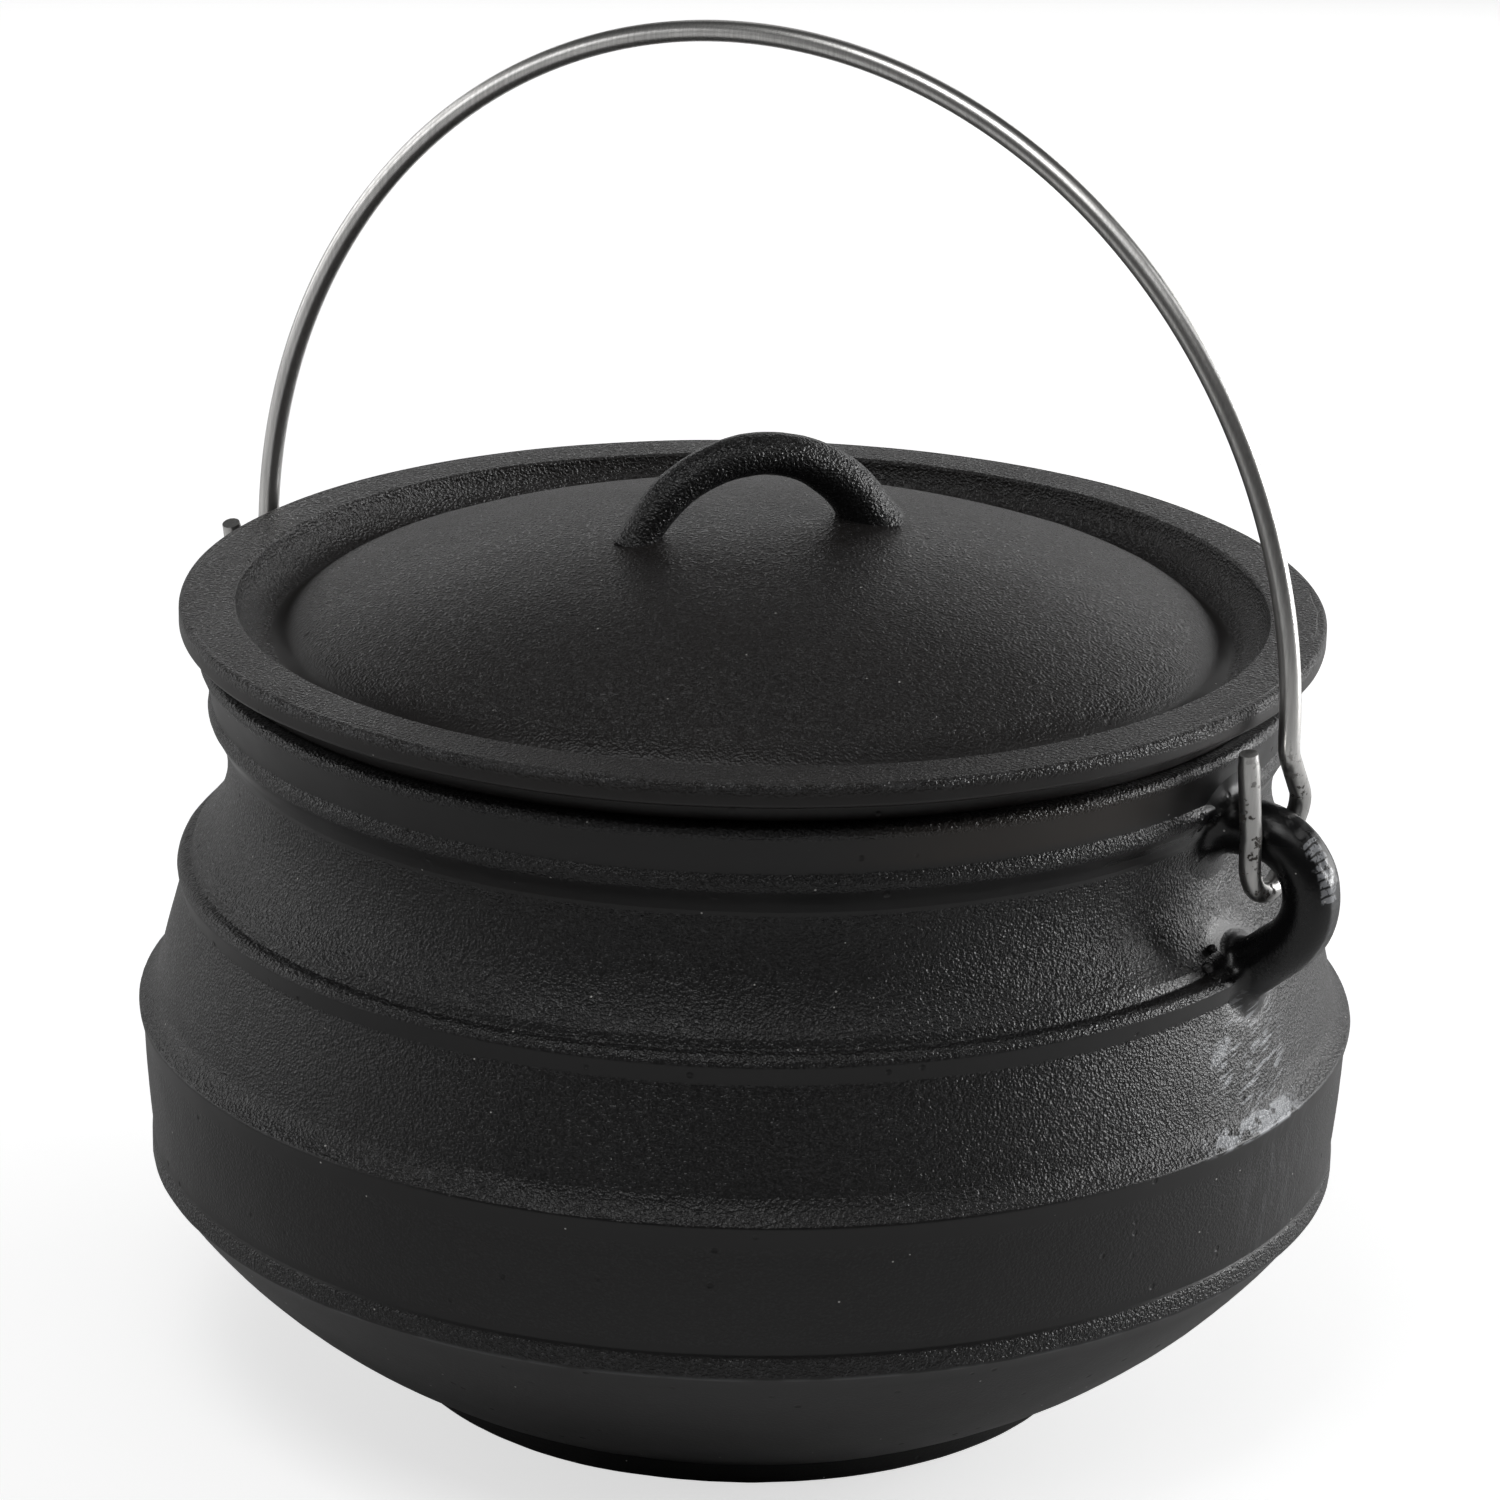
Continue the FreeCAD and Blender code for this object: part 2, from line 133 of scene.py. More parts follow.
class KettleBailSizes(bpy.types.PropertyGroup):
    """Sizes of the wire bail"""
    wire: length("Wire", "Diameter of the wire", 4.9)
    hook_gap: length("Hook gap", "Clearance to the ear's upper arm", 0.8)
    side_gap: length("Side gap", "Clearance to the ear's outer arm", 1.8)
    hook_drop: length("Hook drop", "How far the hook hangs", 4.0)
    arch_out: length("Arch out", "Arch's foot outside the hook", 3.05)
    arch_foot_rise: length("Arch foot rise", "Arch's foot above the ear's arm", 21.9)
    arch_rise: length("Arch rise", "Arch's foot to its top", 137.1)
    lean: bpy.props.FloatProperty(
        name="Lean", description="How far the bail leans from upright",
        default=math.radians(1.0), subtype="ANGLE")


class KettleFinish(bpy.types.PropertyGroup):
    """Colours and surface of the iron and the wire"""
    iron: colour("Iron", "Black of the cast iron", 0.0050, 0.0050, 0.0054)
    brown: colour("Brown iron", "Warmer black where the iron is drier", 0.0110, 0.0088, 0.0080)
    # Grey of scraped and rubbed iron. It is also painted on as highlight lines along sharp edges and
    # as glints on the grain's peaks.
    worn_and_highlight: colour("Worn iron", "Grey of scraped and rubbed iron", 0.40, 0.41, 0.43)
    dust: colour("Dust", "Pale specks on the iron", 0.55, 0.54, 0.52)
    grime: colour("Grime", "Brown film under the lid", 0.030, 0.020, 0.012)
    steel: colour("Steel", "Bright drawn wire", 0.90, 0.89, 0.87)
    tarnish: colour("Tarnish", "Dark spots on the wire", 0.060, 0.052, 0.045)
    iron_roughness: share("Iron roughness", "Roughness of the black surface", 0.40)
    grain: length("Grain", "Height of the as-cast grain", 0.30)


class KettleStage(bpy.types.PropertyGroup):
    """Floor, light and camera"""
    floor: colour("Floor", "Pale floor", 0.82, 0.82, 0.82)
    glow: share("Floor glow", "Light that the camera sees the floor give, so that it is white", 0.66)
    ambient: share("Ambient light", "Even light from all round", 0.03)
    lens: bpy.props.FloatProperty(
        name="Lens", description="Focal length of the camera", default=142.87, unit="CAMERA")
    distance: length("Distance", "Camera to the point that it looks at", 1371.5)
    azimuth: bpy.props.FloatProperty(
        name="Azimuth", description="Camera's place round the kettle",
        default=math.radians(31.5), subtype="ANGLE")
    elevation: bpy.props.FloatProperty(
        name="Elevation", description="Camera's height above the horizon",
        default=math.radians(18.93), subtype="ANGLE")
    roll: bpy.props.FloatProperty(
        name="Roll", description="Tilt of the camera", default=math.radians(1.23), subtype="ANGLE")


GROUPS = {
    "kettle_pot": KettlePotSizes,
    "kettle_ear": KettleEarSizes,
    "kettle_lid": KettleLidSizes,
    "kettle_grip": KettleGripSizes,
    "kettle_bail": KettleBailSizes,
    "kettle_finish": KettleFinish,
    "kettle_stage": KettleStage,
}


def settings(group):
    return getattr(bpy.context.scene, group)


# Outlines


def arc(a, middle, b):
    """Points of the arc from a through middle to b, without a itself."""
    ax, ay = a
    bx, by = middle
    cx, cy = b
    det = 2 * (ax * (by - cy) + bx * (cy - ay) + cx * (ay - by))
    ux = ((ax * ax + ay * ay) * (by - cy) + (bx * bx + by * by) * (cy - ay)
          + (cx * cx + cy * cy) * (ay - by)) / det
    uy = ((ax * ax + ay * ay) * (cx - bx) + (bx * bx + by * by) * (ax - cx)
          + (cx * cx + cy * cy) * (bx - ax)) / det
    radius = math.hypot(ax - ux, ay - uy)
    start = math.atan2(ay - uy, ax - ux)
    sweep = math.remainder(math.atan2(cy - uy, cx - ux) - start, math.tau)
    half = math.remainder(math.atan2(by - uy, bx - ux) - start, math.tau)
    if half * sweep < 0:
        sweep -= math.copysign(math.tau, sweep)
    steps = max(math.ceil(radius * abs(sweep) / ROW_STEP), math.ceil(abs(sweep) / CORNER_TURN), 2)
    return [(ux + radius * math.cos(start + sweep * i / steps),
             uy + radius * math.sin(start + sweep * i / steps)) for i in range(1, steps + 1)]


def bow(a, b, bulge):
    """Points of an arc from a to b that bulges to the right of the way, without a itself."""
    run = math.hypot(b[0] - a[0], b[1] - a[1])
    middle = ((a[0] + b[0]) / 2 + (b[1] - a[1]) / run * bulge,
              (a[1] + b[1]) / 2 - (b[0] - a[0]) / run * bulge)
    return arc(a, middle, b)


def eased(points, radius):
    """The outline with each sharp corner rounded as far as its neighbours allow."""
    result = [points[0]]
    for before, corner, after in zip(points, points[1:], points[2:]):
        way_in = Vector(corner) - Vector(before)
        way_out = Vector(after) - Vector(corner)
        turn = way_in.angle(way_out)
        if turn < CORNER_TURN * 1.3:
            result.append(corner)
            continue
        room = 0.45 * min(way_in.length, way_out.length)
        trim = min(radius * math.tan(turn / 2), room)
        start = Vector(corner) - way_in.normalized() * trim
        end = Vector(corner) + way_out.normalized() * trim
        steps = max(2, math.ceil(turn / math.radians(22)))
        for i in range(steps + 1):
            t = i / steps
            near = start.lerp(Vector(corner), t)
            far = Vector(corner).lerp(end, t)
            result.append(tuple(near.lerp(far, t)))
    return result + [points[-1]]


class PotLines:
    """Heights and radii that the pot, the ears, the lid and the bail share."""

    def __init__(self):
        pot = settings("kettle_pot")
        ear = settings("kettle_ear")
        lid = settings("kettle_lid")
        bail = settings("kettle_bail")
        self.shoulder = pot.neck_radius + pot.shoulder_out
        self.belly = self.shoulder + pot.belly_out
        self.low = self.belly - pot.low_rib_in
        self.lip = pot.neck_radius + pot.lip_out
        collar_in = 1.9 * MM
        lip_width = 7.0 * MM
        self.collar = self.lip - collar_in
        self.mouth = self.lip - lip_width
        self.belly_height = pot.bowl_height + pot.belly_rise
        self.shoulder_height = self.belly_height + pot.shoulder_rise
        self.neck_height = self.shoulder_height + pot.neck_rise
        self.collar_height = self.neck_height + pot.collar_rise
        self.rim_height = self.collar_height + pot.rim_rise
        self.ear_top = self.collar_height - ear.under_collar
        self.ear_arm = pot.neck_radius + ear.reach
        self.hook = self.ear_arm - ear.bar / 2 - bail.side_gap - bail.wire / 2
        self.lid_under = self.rim_height + lid.lift
        self.lid_top = self.lid_under + lid.rim_thickness
        self.crown = self.lid_top + lid.dome_rise

    def neck_at(self, height):
        """Radius of the hollow neck at a height."""
        pot = settings("kettle_pot")
        bead_width = 2.2 * MM
        bead_height = 2.8 * MM
        out = pot.shoulder_out - bead_width
        down = pot.neck_rise - bead_height
        bend = (out * out + down * down) / (2 * out)
        return pot.neck_radius + bend - math.sqrt(bend * bend - (height - self.neck_height) ** 2)


def rib(radius, height):
    """Points of a belly or shoulder rib: foot of its smooth band, and its rounded edge."""
    edge = 0.5 * MM
    return ((radius - 1.2 * MM, height - 5.0 * MM), (radius - edge / 5, height - edge),
            (radius - edge / 2, height + edge))


def pot_outside(lines):
    """Outside of the pot, from the middle of the base up to its lip."""
    pot = settings("kettle_pot")
    base_round = 1.2 * MM
    bowl_start = (pot.foot_radius + 4.0 * MM, pot.foot_height + 0.8 * MM)
    low_foot = (lines.low - 1.4 * MM, pot.bowl_height - 1.4 * MM)
    low_top = (lines.low, pot.bowl_height + 4.2 * MM)
    low_wall = (lines.low - 0.5 * MM, low_top[1] + 1.4 * MM)
    belly_foot, belly_low, belly_high = rib(lines.belly, lines.belly_height)
    belly_top = (lines.belly - 4.3 * MM, lines.belly_height + 5.4 * MM)
    shoulder_foot = rib(lines.shoulder, lines.shoulder_height)[0]
    bead_side = (lines.shoulder - 0.05 * MM, lines.shoulder_height - 0.7 * MM)
    bead_top = (lines.shoulder - 1.8 * MM, lines.shoulder_height + 1.8 * MM)
    groove = (lines.shoulder - 3.4 * MM, lines.shoulder_height + 2.2 * MM)
    flare_end = (lines.neck_at(lines.shoulder_height + 4.4 * MM), lines.shoulder_height + 4.4 * MM)
    collar_foot = (lines.neck_at(lines.collar_height - 5.0 * MM), lines.collar_height - 5.0 * MM)
    collar_low = (lines.collar - 0.9 * MM, lines.collar_height)
    collar_side = (lines.collar, lines.collar_height + 2.2 * MM)
    collar_top = (lines.collar - 0.9 * MM, lines.collar_height + 4.4 * MM)
    lip_side = (lines.lip, lines.rim_height - 2.0 * MM)
    lip_top = (lines.lip - 2.0 * MM, lines.rim_height)
    outside = [(0, 0), (pot.foot_radius / 2, 0), (pot.foot_radius - base_round, 0)]
    outside += bow(outside[-1], (pot.foot_radius, base_round), base_round * QUARTER_BULGE)
    outside += [(pot.foot_radius + 1.0 * MM, pot.foot_height), bowl_start]
    outside += bow(bowl_start, low_foot, pot.bowl_bulge)
    outside += [(lines.low, pot.bowl_height), low_top, low_wall]
    outside += bow(low_wall, belly_foot, 0.3 * MM)
    outside += [belly_low, (lines.belly, lines.belly_height), belly_high]
    outside += bow(belly_high, belly_top, -0.35 * MM)
    outside += bow(belly_top, shoulder_foot, 0.2 * MM)
    outside += [bead_side] + bow(bead_side, bead_top, 0.42 * MM) + [groove, flare_end]
    outside += arc(flare_end, (pot.neck_radius, lines.neck_height), collar_foot)
    outside += [collar_low] + arc(collar_low, collar_side, collar_top)
    outside += bow(collar_top, lip_side, -0.4 * MM)
    outside += bow(lip_side, lip_top, 2.0 * MM * QUARTER_BULGE)
    return eased(outside, pot.edge_round)


def pot_inside(lines):
    """Inside of the pot, from its mouth down to the middle of the floor."""
    pot = settings("kettle_pot")
    shoulder_foot = rib(lines.shoulder, lines.shoulder_height)[0]
    low_wall = (lines.low - 0.9 * MM, pot.bowl_height + 5.2 * MM)
    mouth = (lines.mouth, lines.rim_height)
    neck = (pot.neck_radius - pot.wall, lines.neck_height)
    shoulder = (shoulder_foot[0] - pot.wall, shoulder_foot[1])
    belly = (lines.belly - 3.2 * MM - pot.wall, lines.belly_height)
    low = (low_wall[0] - pot.wall, pot.bowl_height)
    floor = (pot.foot_radius - pot.wall, 6.0 * MM)
    inside = [mouth] + bow(mouth, neck, 0.6 * MM) + bow(neck, shoulder, 1.2 * MM)
    inside += bow(shoulder, belly, -0.6 * MM) + bow(belly, low, -0.6 * MM)
    inside += bow(low, floor, -pot.bowl_bulge - pot.wall / 2)
    return inside + [(floor[0] / 2, floor[1]), (0, floor[1])]


class Wall:
    """The pot's outside as a wall that other pieces run into."""

    def __init__(self, outside):
        self.outside = outside

    def radius(self, height):
        for low, high in zip(self.outside, self.outside[1:]):
            if low[1] <= height <= high[1] and high[1] > low[1]:
                share_up = (height - low[1]) / (high[1] - low[1])
                return low[0] + (high[0] - low[0]) * share_up
        return 0.0

    def holds(self, place):
        return math.hypot(place.x, place.y) < self.radius(place.z)

    def hit(self, start, way):
        """Where a straight way from a place outside first meets the wall."""
        far = 0.0
        while far < 60 * MM and not self.holds(start + way * far):
            far += 0.5 * MM
        near = far - 0.5 * MM
        for _ in range(12):
            middle = (near + far) / 2
            if self.holds(start + way * middle):
                far = middle
            else:
                near = middle
        return start + way * near


def dome(top, radius, ball):
    """Points of a dome's outline from its edge to its top."""
    edge = (radius, top - ball + math.sqrt(ball * ball - radius * radius))
    half = (radius / 2, top - ball + math.sqrt(ball * ball - radius * radius / 4))
    return [edge] + arc(edge, half, (0, top))


def lid_outline(lines):
    """Underside and top of the lid, from the middle below to the crown."""
    lid = settings("kettle_lid")
    chamfer = 1.2 * MM
    radius = lines.lip + lid.overhang
    moat_edge = radius - lid.rim_width
    moat = moat_edge - lid.moat_half_width
    dome_edge = moat - 13.6 * MM
    register = lines.mouth - 0.8 * MM
    register_bottom = lines.rim_height - 2.6 * MM
    seat = lines.mouth + 3.2 * MM
    top = dome(lines.crown, dome_edge, lid.dome_radius)
    under = dome(lines.crown - lid.wall, dome_edge + lid.wall / 2, lid.dome_radius - lid.wall)
    floor = lines.lid_top - lid.moat_depth
    moat_round = 5.5 * MM
    side = moat_round * math.sin(math.radians(45))
    side_height = floor + moat_round * QUARTER_BULGE
    edge = 0.9 * MM
    wall_top = (moat_edge - edge, lines.lid_top - edge)
    points = under[::-1] + [
        (register - 11.0 * MM, register_bottom), (register, register_bottom),
        (register, lines.rim_height), (seat, lines.rim_height), (seat + 0.8 * MM, lines.lid_under),
        (radius - chamfer, lines.lid_under)]
    points += bow(points[-1], (radius, lines.lid_under + chamfer), chamfer * QUARTER_BULGE)
    points += [(radius, lines.lid_top - chamfer)]
    points += bow(points[-1], (radius - chamfer, lines.lid_top), chamfer * QUARTER_BULGE)
    points += [(radius - lid.rim_width / 2, lines.lid_top), (moat_edge, lines.lid_top)]
    points += bow(points[-1], wall_top, edge * QUARTER_BULGE)
    points += bow(wall_top, (moat + side, side_height), -0.6 * MM)
    points += arc(points[-1], (moat, floor), (moat - side, side_height))
    points += bow(points[-1], top[0], 0.7 * MM) + top[1:]
    return eased(points, 0.8 * MM)


# Modelling


def start_alone():
    """Object mode, with nothing selected."""
    if bpy.context.object and bpy.context.object.mode != "OBJECT":
        bpy.ops.object.mode_set(mode="OBJECT")
    bpy.ops.object.select_all(action="DESELECT")


def pick(piece):
    start_alone()
    piece.select_set(True)
    bpy.context.view_layer.objects.active = piece


def closed(piece, merge, smooth):
    """Merges a piece's doubles, points its faces outwards and smooths it up to an angle."""
    pick(piece)
    bpy.ops.object.mode_set(mode="EDIT")
    bpy.ops.mesh.select_all(action="SELECT")
    if merge:
        bpy.ops.mesh.remove_doubles(threshold=merge)
    bpy.ops.mesh.normals_make_consistent(inside=False)
    bpy.ops.object.mode_set(mode="OBJECT")
    bpy.ops.object.shade_smooth_by_angle(angle=math.radians(smooth))
    return piece


def turned(name, outline):
    """A solid of revolution: one point is extruded along the outline, and the chain is spun."""
    start_alone()
    bpy.ops.mesh.primitive_plane_add(size=MM, location=(outline[0][0], 0, outline[0][1]))
    piece = bpy.context.object
    piece.name = name
    bpy.ops.object.transform_apply(location=True, rotation=True, scale=True)
    bpy.ops.object.mode_set(mode="EDIT")
    bpy.ops.mesh.select_all(action="SELECT")
    bpy.ops.mesh.merge(type="CENTER")
    for before, after in zip(outline, outline[1:]):
        step = (after[0] - before[0], 0, after[1] - before[1])
        bpy.ops.mesh.extrude_region_move(TRANSFORM_OT_translate={"value": step})
    bpy.ops.mesh.select_all(action="SELECT")
    bpy.ops.mesh.spin(steps=TURN_STEPS, angle=math.tau, center=(0, 0, 0), axis=(0, 0, 1))
    return closed(piece, 0.02 * MM, 40)


def bar(name, route, radii, sides=8):
    """A round bar along a route of places, as thick at each as its radius says."""
    start_alone()
    data = bpy.data.curves.new(name, "CURVE")
    data.dimensions = "3D"
    data.bevel_depth = 1.0
    data.bevel_resolution = sides
    data.use_fill_caps = True
    spline = data.splines.new("POLY")
    spline.points.add(len(route) - 1)
    for point, place, radius in zip(spline.points, route, radii):
        point.co = (*place, 1)
        point.radius = radius
    piece = bpy.data.objects.new(name, data)
    bpy.context.scene.collection.objects.link(piece)
    pick(piece)
    bpy.ops.object.convert(target="MESH")
    return closed(bpy.context.object, 0.01 * MM, 50)


def rounded_route(corners, bend, step=1.0 * MM):
    """Places along straight runs with a tangent arc of radius bend at each corner."""
    places = [corners[0]]
    for before, corner, after in zip(corners, corners[1:], corners[2:]):
        way_in = (corner - before).normalized()
        way_out = (after - corner).normalized()
        turn = way_in.angle(way_out)
        trim = bend * math.tan(turn / 2)
        start = corner - way_in * trim
        centre = start + (way_out - way_in * way_in.dot(way_out)).normalized() * bend
        axis = way_in.cross(way_out).normalized()
        steps = max(2, math.ceil(bend * turn / step))
        run = (start - places[-1]).length
        straight = max(1, math.ceil(run / (4 * step)))
        places += [places[-1].lerp(start, i / straight) for i in range(1, straight + 1)]
        for i in range(1, steps + 1):
            places.append(centre + Matrix.Rotation(turn * i / steps, 3, axis) @ (start - centre))
    straight = max(1, math.ceil((corners[-1] - places[-1]).length / (4 * step)))
    last = places[-1]
    return places + [last.lerp(corners[-1], i / straight) for i in range(1, straight + 1)]


def uneven(piece, size, height):
    """Gives a casting its slight unevenness: clouds of a size, raised and sunk by a height."""
    clouds = bpy.data.textures.new(piece.name + "_clouds", "CLOUDS")
    clouds.noise_scale = size
    clouds.noise_depth = 1
    pick(piece)
    wave = piece.modifiers.new("Uneven", "DISPLACE")
    wave.texture = clouds
    wave.texture_coords = "LOCAL"
    wave.strength = height
    wave.mid_level = 0.5
    bpy.ops.object.modifier_apply(modifier=wave.name)


def joined(pieces):
    """One piece out of several, under the first one's name."""
    pick(pieces[0])
    for piece in pieces[1:]:
        piece.select_set(True)
    bpy.ops.object.join()
    return pieces[0]


def dress(piece, finish):
    piece.data.materials.clear()
    piece.data.materials.append(finish)


# Shader maths


class Socket:
    """A value, colour or vector in a material, which takes part in sums as numbers do."""

    def __init__(self, tree, link):
        self.tree = tree
        self.link = link

    def sum(self, operation, *values):
        node = self.tree.nodes.new("ShaderNodeMath")
        node.operation = operation
        for entry, value in zip(node.inputs, values):
            plug(self.tree, entry, value)
        return Socket(self.tree, node.outputs[0])

    def __add__(self, other):
        return self.sum("ADD", self, other)

    def __radd__(self, other):
        return self.sum("ADD", other, self)

    def __sub__(self, other):
        return self.sum("SUBTRACT", self, other)

    def __rsub__(self, other):
        return self.sum("SUBTRACT", other, self)

    def __mul__(self, other):
        return self.sum("MULTIPLY", self, other)

    def __rmul__(self, other):
        return self.sum("MULTIPLY", other, self)

    def __pow__(self, other):
        return self.sum("POWER", self, other)

    def larger(self, other):
        return self.sum("MAXIMUM", self, other)

    def size(self):
        return self.sum("ABSOLUTE", self)

    def clipped(self):
        return self.sum("MINIMUM", self.larger(0.0), 1.0)


def plug(tree, entry, value):
    """Links a socket, or sets a number or colour."""
    if isinstance(value, Socket):
        tree.links.new(value.link, entry)
    else:
        entry.default_value = value


class Finish:
    """A material and the nodes that make it. Places are in millimetres."""

    def __init__(self, name):
        self.material = bpy.data.materials.new(name)
        self.material.use_nodes = True
        self.tree = self.material.node_tree
        self.shader = self.tree.nodes["Principled BSDF"]
        here = self.node("ShaderNodeTexCoord", out="Object")
        self.place = self.node("ShaderNodeVectorMath", {"operation": "SCALE"},
                               {"Vector": here, "Scale": 1000.0}, out="Vector")
        self.x = self.node("ShaderNodeSeparateXYZ", {}, {"Vector": self.place}, out="X")
        self.y = self.node("ShaderNodeSeparateXYZ", {}, {"Vector": self.place}, out="Y")
        self.z = self.node("ShaderNodeSeparateXYZ", {}, {"Vector": self.place}, out="Z")

    def node(self, kind, options=None, values=None, out=0):
        """Adds a node, sets its options and links or sets its inputs."""
        node = self.tree.nodes.new(kind)
        for key, value in (options or {}).items():
            setattr(node, key, value)
        for key, value in (values or {}).items():
            plug(self.tree, node.inputs[key], value)
        return Socket(self.tree, node.outputs[out])

    def noise(self, wave, detail=2.0, rough=0.5, place=None):
        """Soft noise from 0 to 1 whose features are about a wave in millimetres."""
        return self.node("ShaderNodeTexNoise", {"noise_dimensions": "3D"},
                         {"Vector": place or self.place, "Scale": 1.0 / wave, "Detail": detail,
                          "Roughness": rough})

    def cells(self, wave, place=None):
        """Distance to the nearest of scattered points about a wave apart."""
        return self.node("ShaderNodeTexVoronoi", {"feature": "F1"},
                         {"Vector": place or self.place, "Scale": 1.0 / wave}, out="Distance")

    def stretched(self, x, y, z, turn=(0, 0, 0)):
        """The place, turned and drawn out by a factor along each axis."""
        return self.node("ShaderNodeMapping", {"vector_type": "TEXTURE"},
                         {"Vector": self.place, "Rotation": turn, "Scale": (x, y, z)})

    def step(self, value, low, high):
        """0 below low, 1 above high and smooth between; the other way if low is the larger."""
        return self.node("ShaderNodeMapRange", {"interpolation_type": "SMOOTHSTEP"},
                         {"Value": value, "From Min": low, "From Max": high})

    def band(self, value, low, high, soft=0.6):
        """1 between low and high, with soft edges."""
        return self.step(value, low - soft, low + soft) * self.step(value, high + soft, high - soft)

    def near(self, x, y, z, radius, soft=0.6, both_sides=False):
        """1 close to a place and 0 beyond a radius; on both sides, also about its mirror in x."""
        place = self.place
        if both_sides:
            place = self.node("ShaderNodeCombineXYZ", {},
                              {"X": self.x.size(), "Y": self.y, "Z": self.z})
        away = self.node("ShaderNodeVectorMath", {"operation": "DISTANCE"},
                         {0: place, 1: (x, y, z)}, out="Value")
        return self.step(away, radius * (1 + soft), radius * (1 - soft))

    def mix(self, factor, first, second):
        """A colour between two colours."""
        node = self.tree.nodes.new("ShaderNodeMix")
        node.data_type = "RGBA"
        plug(self.tree, node.inputs[0], factor)
        plug(self.tree, node.inputs[6], first)
        plug(self.tree, node.inputs[7], second)
        return Socket(self.tree, node.outputs[2])

    def relief(self, height):
        """A normal from a height in millimetres."""
        return self.node("ShaderNodeBump", {}, {"Height": height, "Distance": 1.0 * MM,
                                                "Strength": 1.0}, out="Normal")

    def set(self, **values):
        for key, value in values.items():
            plug(self.tree, self.shader.inputs[key.replace("_", " ")], value)
        return self.material


def cast_iron(finish, grain, gloss, wear_and_highlight, brown, grime=0.0, dents=0.0):
    """Black cast iron.

    Grain, gloss, wear_and_highlight, brown and grime say from 0 to 1 how coarse, glossy, worn grey
    (scraped bare, and painted highlight lines on edges), dry and grimy it is; dents are sunk marks in
    millimetres."""
    look = settings("kettle_finish")
    height = look.grain / MM
    fine = finish.noise(0.62, 1.0, 0.55, place=finish.stretched(1.2, 1.2, 1.0))
    coarse = finish.noise(2.4, 1.0, place=finish.stretched(1.3, 1.3, 1.0))
    lumps = finish.noise(11.0, 0.0)
    pits = finish.step(finish.cells(6.5), 0.15, 0.05) \
        * finish.step(finish.noise(19.0, 0.0), 0.50, 0.62)
    specks = finish.step(finish.cells(6.0, place=finish.stretched(1.0, 1.1, 0.9)), 0.050, 0.030) \
        * finish.step(finish.noise(17.0, 0.0), 0.44, 0.54)
    # peaks: the grain's high points. Below they are painted a touch lighter: partly wear, partly
    # painted glints.
    peaks = finish.step(fine, 0.50, 0.66) * grain
    relief = (fine - 0.5) * (grain * height * 1.5 + 0.006) \
        + (coarse - 0.5) * (grain * height * 0.35 + 0.012) \
        + lumps * 0.10 - pits * 0.22 - dents
    shade = finish.noise(22.0, 2.0)
    base = finish.mix((brown + shade * 0.6 - 0.3).clipped(), tuple(look.iron), tuple(look.brown))
    base = finish.mix(grime, base, tuple(look.grime))
    # Worn grey for scrapes, chips and rubbing. The same grey also gives painted highlight lines on
    # edges and painted glints on the grain's peaks.
    base = finish.mix((wear_and_highlight + peaks * 0.04).clipped(), base, tuple(look.worn_and_highlight))
    base = finish.mix(specks, base, tuple(look.dust))
    rough = look.iron_roughness + (shade - 0.5) * 0.10 - gloss * 0.17 - peaks * 0.12 + pits * 0.2
    return finish.set(Base_Color=base, Roughness=rough, Normal=finish.relief(relief))


